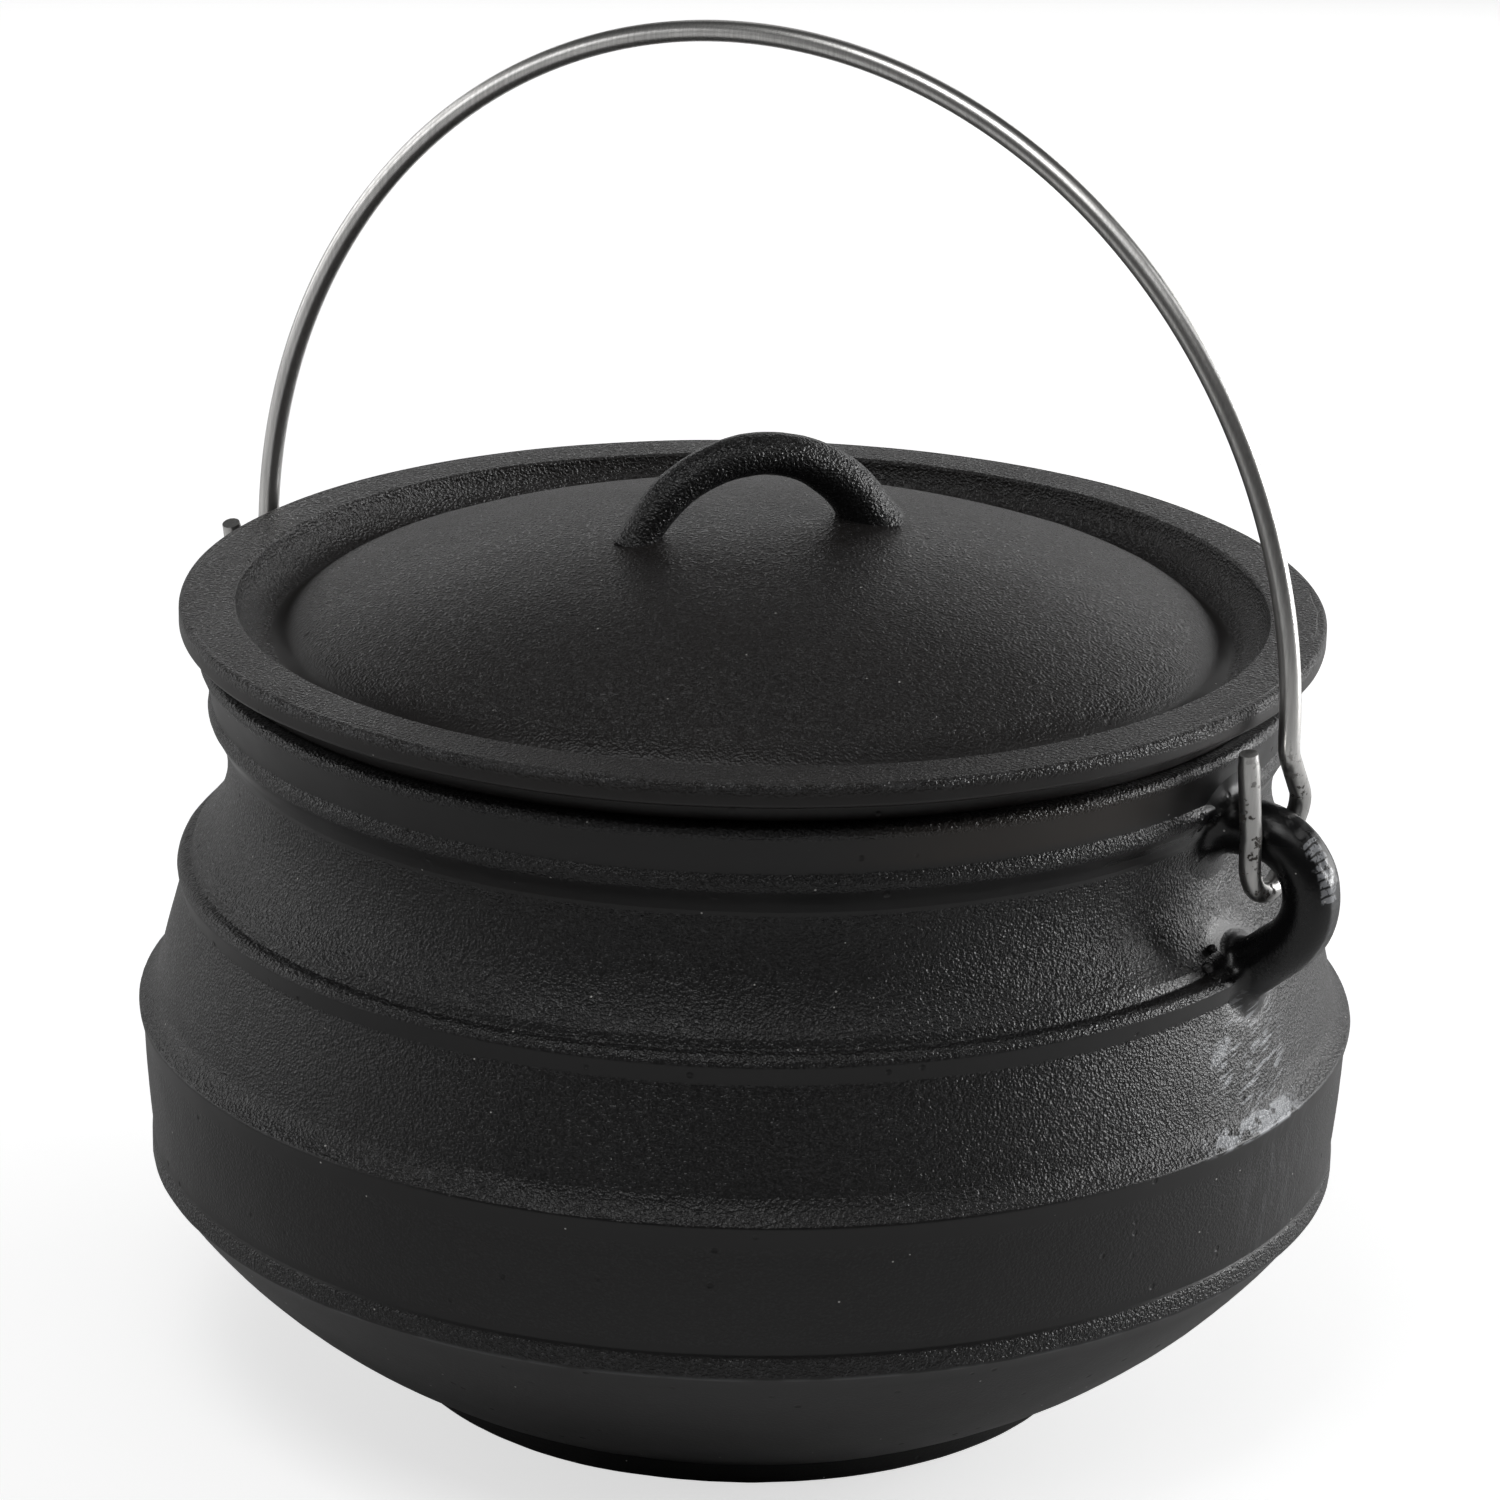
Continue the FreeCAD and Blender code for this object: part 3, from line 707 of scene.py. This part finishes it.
def pot_finish():
    """The pot: grainy on the neck, the ribs' crests and between the ribs, smoother elsewhere."""
    finish = Finish("pot_iron")
    z = finish.z
    side = finish.x.size()
    at_ear = finish.near(124.0, 0.0, 156.5, 15.5, 0.35, both_sides=True) \
        .larger(finish.near(131.5, 0.0, 122.5, 12.5, 0.35, both_sides=True)) \
        .larger(finish.step(side, 131.5, 133.5) * finish.step(z, 124.0, 126.5))
    dark = finish.near(125.0, -26.0, 125.0, 14.0, 0.5) * finish.step(z, 122.4, 123.4)
    at_root = finish.near(128.0, -3.0, 125.0, 9.5, 0.25).larger(at_ear)
    grain = finish.band(z, 122.0, 151.8, 0.3) * 1.1 + finish.band(z, 89.2, 117.6, 0.3) \
        + finish.band(z, 158.2, 162.4, 0.4) * 1.2 + finish.band(z, 170.6, 175.0, 0.5) \
        + finish.band(z, 53.2, 57.4, 0.4) * 1.4 + finish.band(z, 60.0, 84.0, 1.0) * 0.35 \
        + finish.step(z, 50.0, 44.0) * 0.12
    grain = grain * (0.80 + finish.noise(26.0, 0.0) * 0.4)
    grain = grain * (1.0 - at_root * 0.92) * (1.0 - dark * 0.6)
    slant = (math.radians(11), 0, 0)
    streaks = finish.noise(0.8, 1.5, 0.5, place=finish.stretched(1.6, 10.0, 0.9, slant))
    broad = finish.noise(5.5, 1.0)
    scrape_area = finish.near(133.5, -3.0, 103.0, 13.0, 0.5) \
        .larger(finish.near(132.8, -14.0, 106.5, 8.0, 0.5))
    scrape = scrape_area * finish.step(streaks, 0.54, 0.60) * finish.step(broad, 0.38, 0.52)
    patchy = finish.step(finish.noise(1.2, 1.0), 0.30, 0.55)
    for y, z_at, size in (
            (-19.2, 106.1, 1.1), (-17.2, 107.1, 1.7), (-14.8, 108.2, 1.9), (-12.6, 109.3, 1.4)):
        scrape = scrape.larger(finish.near(132.1, y, z_at, size, 0.5) * patchy)
    chips = finish.band(z, 88.4, 92.2, 0.5) * finish.near(139.5, -9.0, 90.5, 17.0, 0.35) \
        * finish.step(finish.noise(4.2, 2.0, 0.6, place=finish.stretched(1.0, 1.6, 0.7)), 0.40, 0.50)
    # rubbed_and_edge_highlight: a lighter line along the low rib's lower edge, partly wear and partly
    # a painted highlight line. There are also upright rubbed streaks on the lower belly under the ear
    # at +x.
    rubbed_and_edge_highlight = finish.band(z, 51.9, 52.9, 0.3) * 0.10 * finish.step(finish.noise(8.0, 1.0), 0.38, 0.60) \
        + finish.near(137.0, 5.0, 72.0, 17.0, 0.8) * finish.step(
            finish.noise(1.6, 1.0, 0.6, place=finish.stretched(1.0, 1.0, 5.0)), 0.44, 0.70) * 0.10
    bend_x = finish.x - 131.3
    bend_z = finish.z - 136.2
    stroke = bend_z.sum("ARCTAN2", bend_z, bend_x) * (180 / math.pi / STROKE_TURN)
    stroke = stroke + finish.noise(2.5, 1.0) * 0.5
    shoulder = finish.step((bend_x * bend_x + bend_z * bend_z) ** 0.5, 18.7, 19.0) \
        * finish.band(finish.y + finish.noise(1.9, 1.0) * 2.6, -2.9, 1.4, 0.3) \
        * finish.band(stroke, 4.0, 11.6, 0.05)
    cuts = finish.step((stroke.sum("FRACT", stroke) - 0.5).size(), 0.42, 0.34)
    chiselled = shoulder * cuts * finish.step(finish.noise(0.9, 2.0), 0.36, 0.48)
    strip = at_ear * finish.band(finish.y, -2.2, 2.2, 0.3) * finish.step(side, 149.4, 150.2)
    seam = finish.band(finish.y + finish.noise(6.0, 0.0) * 1.6, -11.3, -10.95, 0.12) \
        * finish.band(z, 130.0, 147.5, 1.5) * finish.step(finish.x, 100.0, 110.0)
    # The edge line from rubbed_and_edge_highlight is partly a painted highlight. Scrapes, chips,
    # chisel marks and the ground strip are wear.
    wear_and_highlight = (scrape * 0.75 + chips * 0.95 + rubbed_and_edge_highlight + chiselled * 0.60 + strip * 0.10).clipped()
    gloss = at_root * 0.55 + finish.band(z, 155.0, 157.2) * 0.5 + chiselled * 0.7 \
        + finish.near(119.0, -28.0, 136.0, 24.0, 0.7) * 0.6
    grime = finish.band(z, 163.5, 173.0, 1.5) * finish.near(108.0, -62.0, 168.0, 34.0, 0.5) * 0.5
    return cast_iron(finish, grain, gloss.clipped(), wear_and_highlight, 0.25 * (1.0 - at_root), grime, seam * 0.25)


def lid_finish():
    """The lid: coarse grain on the flat ring, fine grain on the dome, smoother in the moat."""
    finish = Finish("lid_iron")
    out = (finish.x * finish.x + finish.y * finish.y) ** 0.5
    top = finish.step(finish.z, 181.5, 184.0)
    grain = finish.step(out, 117.8, 118.4) * top * 1.5 + finish.step(out, 108.0, 99.0) * 1.25 \
        + finish.band(out, 110.0, 118.2, 0.8) * 1.3
    groove = finish.band(out + finish.noise(9.0, 0.0) * 0.8, 128.9, 129.3, 0.15) * top \
        * finish.step(finish.noise(30.0, 0.0), 0.42, 0.50)
    # The flat ring's outer top edge, painted lighter in patches: partly wear, partly a painted
    # highlight line.
    rim = finish.band(out, 129.6, 130.9, 0.25) * finish.band(finish.z, 183.2, 185.2, 0.3)
    wear_and_highlight = rim * finish.step(finish.noise(5.0, 1.0), 0.42, 0.62) * 0.05
    brown = 0.55 + finish.noise(30.0, 1.0) * 0.5
    return cast_iron(finish, grain, 0.0, wear_and_highlight, brown.clipped(), 0.0, groove * 0.30)


def grip_finish():
    """The loop on the lid: a little glossier on top. a little glossier on top, with a faint seam along
    its side.
    """
    finish = Finish("grip_iron")
    polish = finish.step(finish.z, 211.0, 219.0)
    return cast_iron(finish, 1.15, 0.25 + polish * 0.3, 0.0, 0.2)


def wire_finish():
    """Bright drawn wire with lines along it, and dark spots towards the hooks, where it is also
    darker.
    """
    finish = Finish("steel_wire")
    look = settings("kettle_finish")
    low = finish.step(finish.z, 184.0, 158.0)
    spots = finish.step(finish.noise(2.6, 3.0, 0.6), 0.57, 0.63) * low
    film = finish.noise(13.0, 2.0, place=finish.stretched(1.0, 1.0, 2.5))
    lines_along = finish.noise(0.55, 1.5, place=finish.stretched(1.0, 1.0, 26.0))
    darker_steel = tuple(c * 0.45 for c in look.steel[:3]) + (1,)
    base = finish.mix((film * 0.8 + lines_along * 0.9 - 0.66).clipped(), tuple(look.steel), darker_steel)
    # Darker towards the hooks.
    base = finish.mix(low * 0.7, base, darker_steel)
    base = finish.mix(spots, base, tuple(look.tarnish))
    rough = 0.24 + film * 0.08 + spots * 0.30 + lines_along * 0.08
    return finish.set(Base_Color=base, Roughness=rough, Metallic=1.0 - spots * 0.8,
                      Normal=finish.relief(lines_along * 0.02 - spots * 0.03))


# Pieces


def ear_route(lines):
    """Centres along the right ear between its two fillets, each with the way the bar runs there."""
    ear = settings("kettle_ear")
    pot = settings("kettle_pot")
    top = Vector((lines.ear_arm - ear.top_bend, 0, lines.ear_top - ear.top_bend))
    low = Vector((lines.ear_arm - ear.low_bend, 0, top.z - ear.straight))
    root = Vector((pot.neck_radius + ear.root_reach, 0, lines.ear_top - ear.root_drop))
    to_root = root - low
    leave = math.atan2(to_root.z, to_root.x) + math.acos(ear.low_bend / to_root.length)
    stations = []
    for centre, bend, first, sweep, steps in (
            (top, ear.top_bend, math.pi / 2, -math.pi / 2, 36), (low, ear.low_bend, 0.0, leave, 28)):
        for i in range(steps + 1):
            angle = first + sweep * i / steps
            out = Vector((math.cos(angle), 0, math.sin(angle)))
            stations.append((centre + out * bend, Vector((out.z, 0, -out.x))))
    return stations


def ear_root(wall, centre, way, outward, radius, around, along, spread):
    """Rings of the fillet with which a bar grows out of the wall, from the bar to the wall.

    Outward is the bar's side away from the pot's middle. Along and spread are the fillet's sizes
    on the bar and on the wall, above and below it."""
    rings = [[] for _ in range(9)]
    for k in range(around):
        angle = math.tau * k / around
        out = Vector((0, math.cos(angle), 0)) + outward * math.sin(angle)
        height = 0.5 + 0.5 * out.z
        foot = spread[1] + (spread[0] - spread[1]) * height
        corner = wall.hit(centre + out * radius, way)
        room = (corner - centre).dot(way) - 0.4 * MM
        start = corner - way * max(0.2 * MM, min(along[1] + (along[0] - along[1]) * height, room))
        end = wall.hit(centre + out * (radius + foot), way)
        for i, ring in enumerate(rings[:-1]):
            t = i / (len(rings) - 2)
            ring.append(start.lerp(corner, t).lerp(corner.lerp(end, t), t))
        rings[-1].append(end + way * (0.8 * MM) + out * (0.3 * MM))
    return rings


def cast_ear(lines, wall, side):
    """One cast ear: a round bar with a ground strip along its outer edge, and two filleted roots."""
    ear = settings("kettle_ear")
    around = 72
    radius = ear.bar / 2
    stations = ear_route(lines)
    start, start_way = stations[0]
    end, end_way = stations[-1]
    fillet = ear.fillet
    upper = ear_root(wall, start, -start_way, Vector((0, 0, 1)), radius, around,
                     (fillet * 0.45, fillet * 0.8), (fillet * 0.65, fillet * 0.85))
    lower = ear_root(wall, end, end_way, Vector((-end_way.z, 0, end_way.x)), radius, around,
                     (fillet * 0.5, fillet * 0.45), (fillet * 0.4, fillet * 0.4))
    rings = upper[::-1]
    strip_start = 6
    chisel_end = 36
    top_centre = start - Vector((0, 0, ear.top_bend))
    for number, (centre, way) in enumerate(stations):
        outward = Vector((-way.z, 0, way.x))
        ring = []
        ground = radius * (0.950 + 0.012 * math.sin(number * 0.31) + 0.006 * math.sin(number * 1.7))
        for k in range(around):
            angle = math.tau * k / around
            across = math.cos(angle) * radius
            out = math.sin(angle) * radius
            if number > strip_start:
                out = min(out, ground)
            place = centre + Vector((0, across, 0)) + outward * out
            if number < chisel_end:
                away = place - top_centre
                flat = Vector((away.x, 0, away.z)).length
                stroke = math.floor(math.degrees(math.atan2(away.z, away.x)) / STROKE_TURN)
                lean = 0.945 + 0.018 * math.sin(stroke * 2.4)
                face = outward * 0.96 - Vector((0, 0.28 + 0.08 * math.sin(stroke * 1.3), 0))
                face.normalize()
                beyond = (place - centre).dot(face) - radius * lean
                if beyond > 0 and 3 <= stroke <= 12 and flat > ear.top_bend:
                    place = place - face * beyond
            ring.append(place)
        rings.append(ring)
    rings += lower
    corners = [Vector((side * p.x, p.y, p.z)) for ring in rings for p in ring]
    faces = []
    for r in range(len(rings) - 1):
        for k in range(around):
            a = r * around + k
            b = r * around + (k + 1) % around
            faces.append((a, b, b + around, a + around))
    faces.append(tuple(range(around)))
    faces.append(tuple(range(len(corners) - around, len(corners))))
    data = bpy.data.meshes.new("ear")
    data.from_pydata(corners, [], faces)
    piece = bpy.data.objects.new("ear", data)
    bpy.context.scene.collection.objects.link(piece)
    return closed(piece, 0, 24)


def casting_lump(place, size):
    """A drop of iron left on the casting."""
    start_alone()
    bpy.ops.mesh.primitive_uv_sphere_add(segments=24, ring_count=16, radius=size, location=place)
    lump = bpy.context.object
    bpy.ops.object.transform_apply(location=True, rotation=True, scale=True)
    bpy.ops.object.shade_smooth()
    uneven(lump, 1.6 * MM, 0.9 * MM)
    return lump


class KETTLE_OT_pot(bpy.types.Operator):
    """Turn the pot and grow its two ears"""
    bl_idname = "kettle.pot"
    bl_label = "Pot and ears"

    def execute(self, context):
        lines = PotLines()
        outside = pot_outside(lines)
        pot = turned("pot_casting", outside + pot_inside(lines))
        wall = Wall(outside)
        pieces = [pot, cast_ear(lines, wall, 1), cast_ear(lines, wall, -1)]
        for place, size in (((126.1, -9.8, 129.4), 1.0), ((127.2, -14.0, 126.4), 1.3),
                            ((129.4, -13.6, 123.8), 1.1)):
            pieces.append(casting_lump(Vector(place) * MM, size * MM))
        piece = joined(pieces)
        uneven(piece, 42 * MM, 0.5 * MM)
        uneven(piece, 7 * MM, 0.16 * MM)
        dress(piece, pot_finish())
        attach(piece, "kettle")
        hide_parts("kettle_body")
        return {"FINISHED"}


class KETTLE_OT_lid(bpy.types.Operator):
    """Turn the lid and set its loop grip on the dome"""
    bl_idname = "kettle.lid"
    bl_label = "Lid and grip"

    def execute(self, context):
        lines = PotLines()
        lid = settings("kettle_lid")
        grip = settings("kettle_grip")
        plate = turned("lid_casting", lid_outline(lines))
        uneven(plate, 45 * MM, 0.4 * MM)
        dress(plate, lid_finish())
        ball = lid.dome_radius
        foot = lines.crown - ball + math.sqrt(ball * ball - grip.half_span ** 2)
        bend = (grip.half_span ** 2 + grip.rise ** 2) / (2 * grip.rise)
        centre = foot + grip.rise - bend
        reach = math.asin(grip.half_span / bend) + 2.5 * MM / bend
        steps = 48
        places = []
        radii = []
        for i in range(steps + 1):
            side = 2 * i / steps - 1
            angle = side * reach
            end = grip.thick_foot if side > 0 else grip.thin_foot
            places.append(Vector((bend * math.sin(angle), 0, centre + bend * math.cos(angle))))
            flare = max(0.0, (abs(side) - 0.86) / 0.14) ** 2 * 1.0 * MM
            radii.append((grip.top + (end - grip.top) * abs(side) ** 1.5) / 2 + flare)
        loop = bar("grip", places, radii, 8)
        bpy.ops.object.mode_set(mode="EDIT")
        bpy.ops.mesh.select_all(action="SELECT")
        bpy.ops.transform.resize(value=(1, 1.12, 1), center_override=(0, 0, 0))
        bpy.ops.transform.rotate(value=-grip.turn, orient_axis="Z", center_override=(0, 0, 0))
        bpy.ops.object.mode_set(mode="OBJECT")
        uneven(loop, 8 * MM, 0.4 * MM)
        dress(loop, grip_finish())
        piece = joined([plate, loop])
        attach(piece, "kettle")
        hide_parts("lid")
        return {"FINISHED"}


def bail_end(lines, side, tip_rise, tip_open):
    """Places from a hook's tip round the ear's upper arm and up the leg to the arch's foot."""
    bail = settings("kettle_bail")
    ear = settings("kettle_ear")
    offset = ear.bar / 2 + bail.hook_gap + bail.wire / 2
    bend_height = lines.ear_top - bail.hook_drop
    arch_foot = lines.ear_top + bail.arch_foot_rise

    def place(out, away, height):
        return Vector((side * (lines.hook + out), away, height))

    near = place(0, -offset, bend_height)
    tip = place(0, -offset - tip_open, lines.ear_top + tip_rise)
    hook = rounded_route([tip, place(0, -offset, bend_height + bail.wire), near], 8 * MM)
    turn = []
    steps = 20
    for i in range(1, steps):
        angle = math.pi * i / steps
        turn.append(place(0, -offset * math.cos(angle), bend_height - offset * math.sin(angle)))
    leg = rounded_route([
        place(0, offset, bend_height),
        place(0, offset, bend_height + bail.wire / 2),
        place(1.6 * MM, offset + 2.0 * MM, lines.ear_top + 4.6 * MM),
        place(bail.arch_out, 0, arch_foot - 3.0 * MM),
        place(bail.arch_out, 0, arch_foot),
    ], 8 * MM)
    return hook + turn + leg


def arch(lines):
    """Places along the arch, from the right foot to the left one, without the feet."""
    bail = settings("kettle_bail")
    half = lines.hook + bail.arch_out
    foot = lines.ear_top + bail.arch_foot_rise
    join = math.radians(40)
    lean = (1 - math.sin(join)) / math.cos(join)
    side_bend = (bail.arch_rise - half * lean) / (math.sin(join) - lean * (1 - math.cos(join)))
    side_centre = half - side_bend
    top_bend = (half - side_bend * (1 - math.cos(join))) / math.cos(join)
    places = []
    steps = 160
    for i in range(1, steps):
        angle = math.pi * i / steps
        if join < angle < math.pi - join:
            places.append(Vector((top_bend * math.cos(angle), 0,
                                  foot + bail.arch_rise - top_bend + top_bend * math.sin(angle))))
        else:
            side = 1 if angle < math.pi / 2 else -1
            swing = angle if side > 0 else math.pi - angle
            places.append(Vector((side * (side_centre + side_bend * math.cos(swing)), 0,
                                  foot + side_bend * math.sin(swing))))
    return places


class KETTLE_OT_bail(bpy.types.Operator):
    """Bend the wire bail with its two hooks"""
    bl_idname = "kettle.bail"
    bl_label = "Wire bail"

    def execute(self, context):
        lines = PotLines()
        bail = settings("kettle_bail")
        right = bail_end(lines, 1, tip_rise=21.5 * MM, tip_open=3.6 * MM)
        left = bail_end(lines, -1, tip_rise=27.5 * MM, tip_open=9.6 * MM)
        places = right + arch(lines) + left[::-1]
        pivot = Vector((0, 0, lines.ear_top))
        tilt = Matrix.Rotation(-bail.lean, 3, "X")
        places = [pivot + tilt @ (p - pivot) for p in places]
        radii = [bail.wire / 2] * len(places)
        radii[0] *= 0.86
        radii[-1] *= 0.86
        piece = bar("bail_wire", places, radii, 5)
        dress(piece, wire_finish())
        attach(piece, "bail")
        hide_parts("bail_handle")
        return {"FINISHED"}


def area_light(name, place, aim, width, height, power):
    """A soft box at a place, facing another."""
    data = bpy.data.lights.new(name, "AREA")
    data.shape = "RECTANGLE"
    data.size = width
    data.size_y = height
    data.energy = power
    lamp = bpy.data.objects.new(name, data)
    lamp.location = place
    lamp.rotation_euler = (Vector(aim) - Vector(place)).to_track_quat("-Z", "Y").to_euler()
    bpy.context.scene.collection.objects.link(lamp)
    return lamp


def round_place(azimuth, elevation, distance, centre):
    """A place round the kettle; azimuth 0 is on the -Y side, as for the camera."""
    flat = distance * math.cos(elevation)
    return Vector((flat * math.sin(azimuth), -flat * math.cos(azimuth),
                   distance * math.sin(elevation))) + centre


class KETTLE_OT_stage(bpy.types.Operator):
    """Set the pale floor, the soft light and the camera"""
    bl_idname = "kettle.stage"
    bl_label = "Floor, light and camera"

    def execute(self, context):
        stage = settings("kettle_stage")
        start_alone()
        bpy.ops.mesh.primitive_plane_add(size=30)
        floor = context.object
        floor.name = "floor"
        paint = Finish("floor_paint")
        paint.set(Base_Color=tuple(stage.floor), Roughness=0.9)
        ray = paint.node("ShaderNodeLightPath", out="Is Camera Ray")
        glow = paint.node("ShaderNodeEmission", {}, {"Color": (1, 1, 1, 1), "Strength": stage.glow})
        both = paint.node("ShaderNodeAddShader", {}, {0: Socket(paint.tree, paint.shader.outputs[0]),
                                                      1: glow})
        mixed = paint.node("ShaderNodeMixShader", {},
                           {0: ray, 1: Socket(paint.tree, paint.shader.outputs[0]), 2: both})
        paint.tree.links.new(mixed.link, paint.tree.nodes["Material Output"].inputs["Surface"])
        dress(floor, paint.material)

        centre = Vector((0, 0, 0.12))
        for name, azimuth, elevation, width, height, power in (
                ("top_left", -35, 62, 0.9, 0.7, 5.6),
                ("top_right", 35, 62, 0.9, 0.7, 1.0),
                ("top_front", 0, 52, 0.9, 0.6, 1.0),
                ("left_low", -85, 12, 0.7, 0.7, 2.5),
                ("right_high", 90, 42, 0.7, 0.6, 1.2),
                ("right_strip", 98, 12, 0.4, 0.7, 9.6),
                ("right_foot", 103, 0, 0.5, 0.2, 2.7),
                ("left_behind", -120, 12, 0.7, 0.7, 2.6),
                ("right_behind", 120, 12, 0.7, 0.7, 5.6),
                ("back_left", -150, 12, 0.8, 0.5, 0.9),
                ("back_right", 150, 12, 0.8, 0.5, 1.6),
                ("back_low", 180, 10, 0.9, 0.4, 1.0),
                ("back_high", 180, 34, 0.9, 0.5, 0.6)):
            place = round_place(stage.azimuth + math.radians(azimuth), math.radians(elevation),
                                LIGHT_DISTANCE, centre)
            area_light(name, place, centre, width, height, power)

        world = bpy.data.worlds.new("studio")
        world.use_nodes = True
        context.scene.world = world
        tree = world.node_tree
        back = tree.nodes["Background"]
        back.inputs["Color"].default_value = (1, 1, 1, 1)
        back.inputs["Strength"].default_value = stage.ambient
        white = tree.nodes.new("ShaderNodeBackground")
        white.inputs["Strength"].default_value = 1.0
        light_path = tree.nodes.new("ShaderNodeLightPath")
        blend = tree.nodes.new("ShaderNodeMixShader")
        tree.links.new(light_path.outputs["Is Camera Ray"], blend.inputs[0])
        tree.links.new(back.outputs[0], blend.inputs[1])
        tree.links.new(white.outputs[0], blend.inputs[2])
        tree.links.new(blend.outputs[0], tree.nodes["World Output"].inputs["Surface"])

        data = bpy.data.cameras.new("camera")
        data.lens = stage.lens
        data.sensor_width = 36
        camera = bpy.data.objects.new("camera", data)
        aim = Vector((0, 0, 0.1476))
        camera.location = round_place(stage.azimuth, stage.elevation, stage.distance, aim)
        look = (aim - camera.location).to_track_quat("-Z", "Y").to_matrix()
        camera.rotation_euler = (look @ Matrix.Rotation(stage.roll, 3, "Z")).to_euler()
        context.scene.collection.objects.link(camera)
        context.scene.camera = camera
        context.scene.view_settings.view_transform = "Standard"
        return {"FINISHED"}


class KETTLE_PT_panel(bpy.types.Panel):
    """Sizes and finishes of the kettle, and its operators"""
    bl_label = "Camp kettle"
    bl_idname = "KETTLE_PT_panel"
    bl_space_type = "VIEW_3D"
    bl_region_type = "UI"
    bl_category = "Kettle"

    def draw(self, context):
        for group in GROUPS:
            box = self.layout.box()
            for name in GROUPS[group].__annotations__:
                box.prop(getattr(context.scene, group), name)
        for operator in OPERATORS:
            self.layout.operator(operator.bl_idname)


OPERATORS = (KETTLE_OT_pot, KETTLE_OT_lid, KETTLE_OT_bail, KETTLE_OT_stage)
CLASSES = tuple(GROUPS.values()) + OPERATORS + (KETTLE_PT_panel,)


def register():
    for part in CLASSES:
        bpy.utils.register_class(part)
    for name, group in GROUPS.items():
        setattr(bpy.types.Scene, name, bpy.props.PointerProperty(type=group))


def unregister():
    for name in GROUPS:
        delattr(bpy.types.Scene, name)
    for part in reversed(CLASSES):
        bpy.utils.unregister_class(part)


def main():
    register()
    bpy.ops.kettle.pot()
    bpy.ops.kettle.lid()
    bpy.ops.kettle.bail()
    bpy.ops.kettle.stage()


if __name__ == "__main__":
    main()
